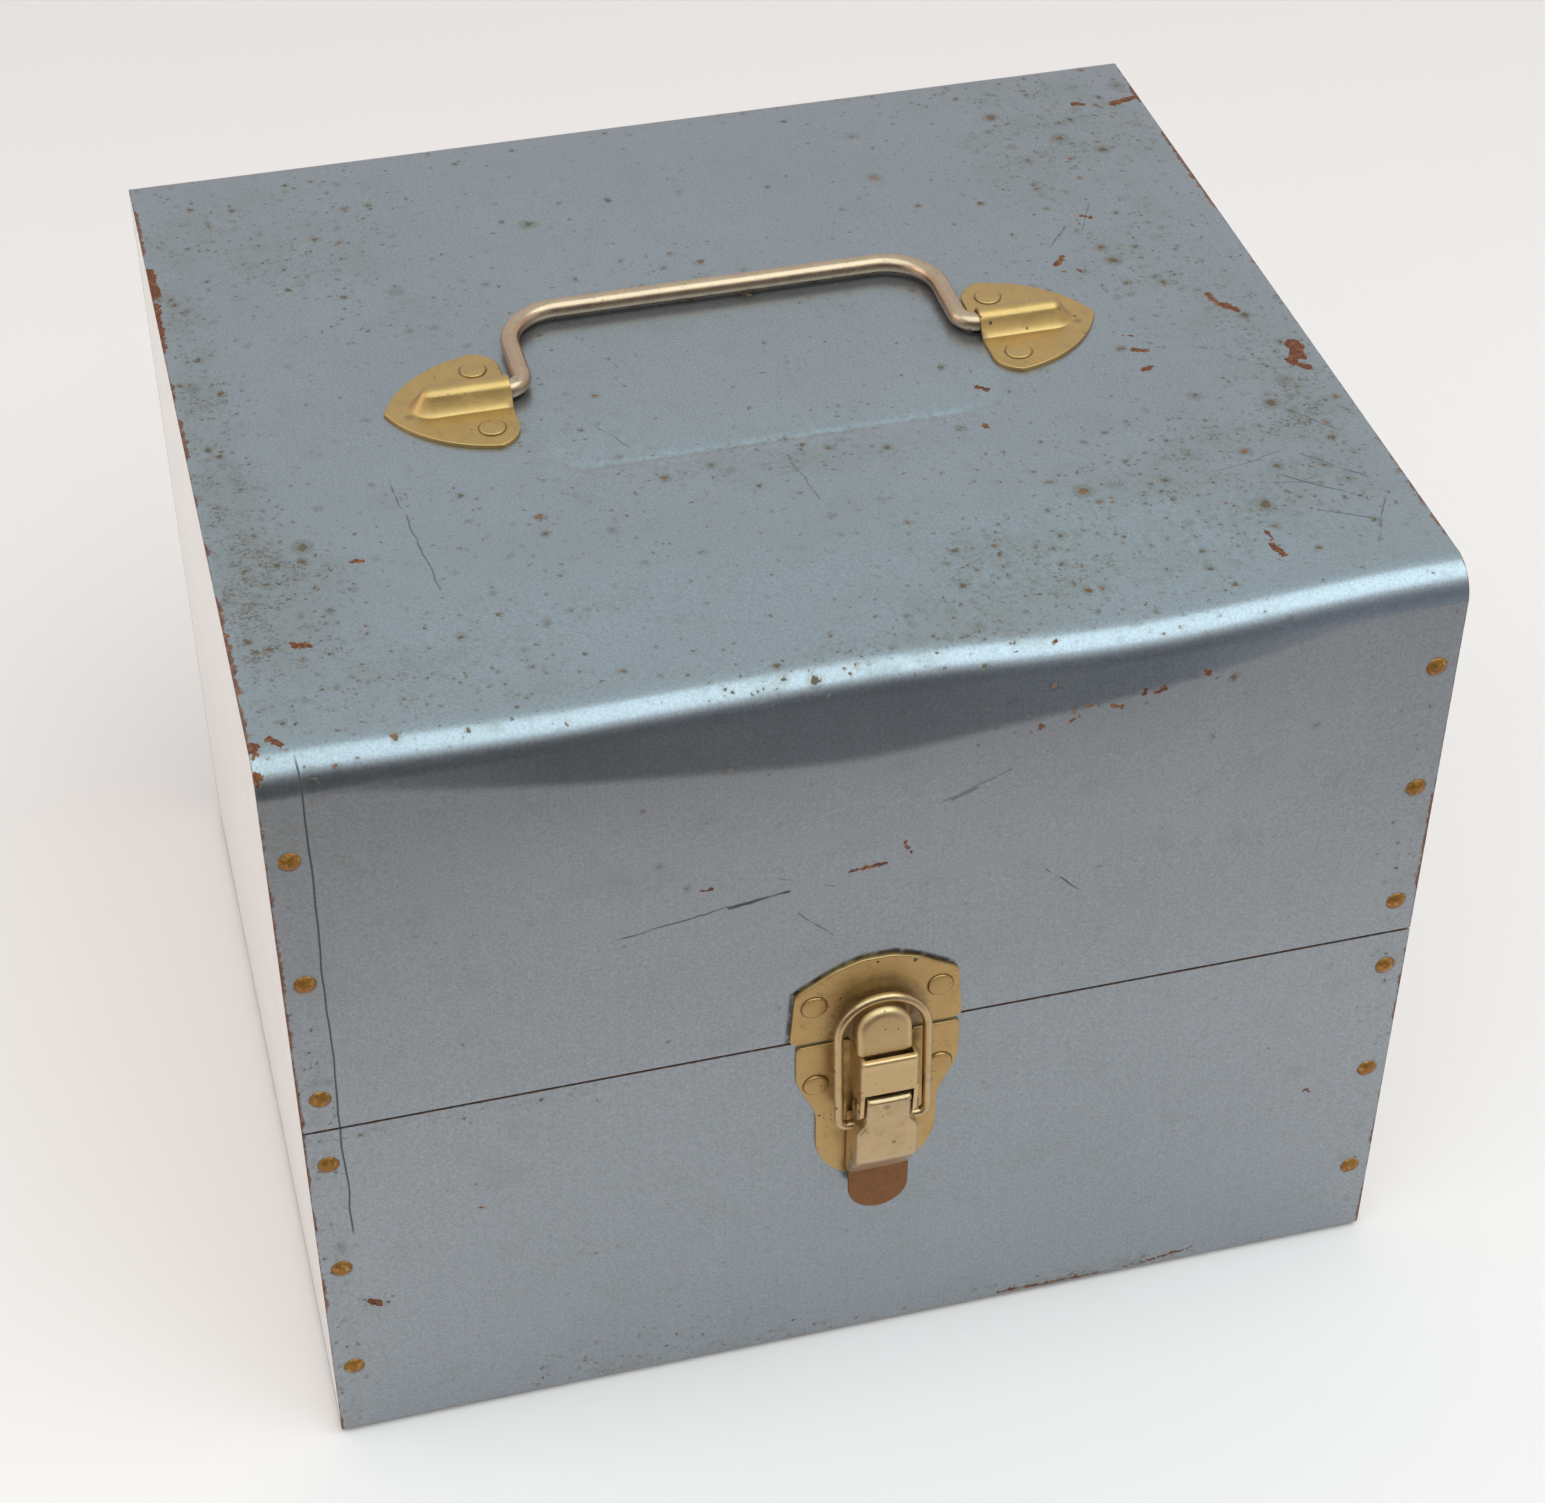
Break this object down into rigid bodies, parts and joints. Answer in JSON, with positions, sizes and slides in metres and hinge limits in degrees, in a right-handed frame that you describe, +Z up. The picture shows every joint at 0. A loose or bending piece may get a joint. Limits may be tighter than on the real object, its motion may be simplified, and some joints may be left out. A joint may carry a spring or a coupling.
{
  "type": "sewing box with trays",
  "caption": "Hinged sewing box of blue sheet metal on white wooden ends, with folding wire handle, draw latch and lift-out trays",
  "frame": {"origin": "centre of the flat underside, where the box stands", "axes": "+X to the box's right seen from the front, -Y to the front with the latch, +Z up"},
  "size_m": [0.254, 0.2436, 0.2099],
  "materials": {
    "blue_lacquer": "thin metallic blue lacquer over sheet steel, scratched and rust-specked",
    "white_wood": "white gloss paint over wood",
    "gold_plate": "satin antique-gold plating",
    "gold_wire": "worn champagne-gold plated wire",
    "nail_brass": "brass plating with rust",
    "pin_steel": "bright steel",
    "pine": "bare sanded pine",
    "tray_paint": "pale grey-blue paint"
  },
  "bodies": {
    "base": {"base_shell": "blue_lacquer", "base_end_left": "white_wood", "base_end_right": "white_wood", "base_nails": "nail_brass", "latch_base": "gold_plate", "latch_base_rivets": "gold_plate", "lever_pin": "pin_steel", "hinge_base_leaves": "gold_plate", "hinge_base_rivets": "gold_plate", "hinge_pins": "pin_steel", "rail_left": "pine", "rail_right": "pine", "rail_screws": "nail_brass"},
    "lid": {"lid_shell": "blue_lacquer", "lid_end_left": "white_wood", "lid_end_right": "white_wood", "lid_nails": "nail_brass", "handle_plate_left": "gold_plate", "handle_plate_right": "gold_plate", "handle_rivets": "gold_plate", "catch_plate": "gold_plate", "catch_rivets": "gold_plate", "hinge_lid_leaves": "gold_plate", "hinge_lid_rivets": "gold_plate"},
    "handle": {"handle_bail": "gold_wire"},
    "lever": {"latch_lever": "gold_plate"},
    "loop": {"latch_loop": "gold_wire"},
    "lower_tray": {"lower_tray_pan": "tray_paint", "lower_tray_end_left": "pine", "lower_tray_end_right": "pine", "lower_tray_long_divider": "pine", "lower_tray_cross_dividers": "pine", "lower_tray_nails": "nail_brass"},
    "upper_tray": {"upper_tray_pan": "tray_paint", "upper_tray_end_left": "pine", "upper_tray_end_right": "pine", "upper_tray_nails": "nail_brass", "spool_pegs": "pine"}
  },
  "joints": [
    {"name": "lid_hinge", "type": "hinge", "parent": "base", "child": "lid", "pos_m": [0, 0.1163, 0.102], "axis": [-1, 0, 0], "range_deg": [0, 175]},
    {"name": "handle_swing", "type": "hinge", "parent": "lid", "child": "handle", "pos_m": [0, 0, 0.2065], "axis": [1, 0, 0], "range_deg": [0, 180]},
    {"name": "lever_swing", "type": "hinge", "parent": "base", "child": "lever", "pos_m": [0, -0.1205, 0.0855], "axis": [-1, 0, 0], "range_deg": [0, 110]},
    {"name": "loop_swing", "type": "hinge", "parent": "lever", "child": "loop", "pos_m": [0, -0.1188, 0.079], "axis": [-1, 0, 0], "range_deg": [-130, 0]},
    {"name": "lower_tray_lift", "type": "slide", "parent": "base", "child": "lower_tray", "axis": [0, 0, 1], "range_m": [0, 0.06]},
    {"name": "upper_tray_lift", "type": "slide", "parent": "lower_tray", "child": "upper_tray", "axis": [0, 0, 1], "range_m": [0, 0.06]}
  ],
  "couplings": [
    {"joint": "loop_swing", "follows": "lever_swing", "ratio": -1.15}
  ]
}
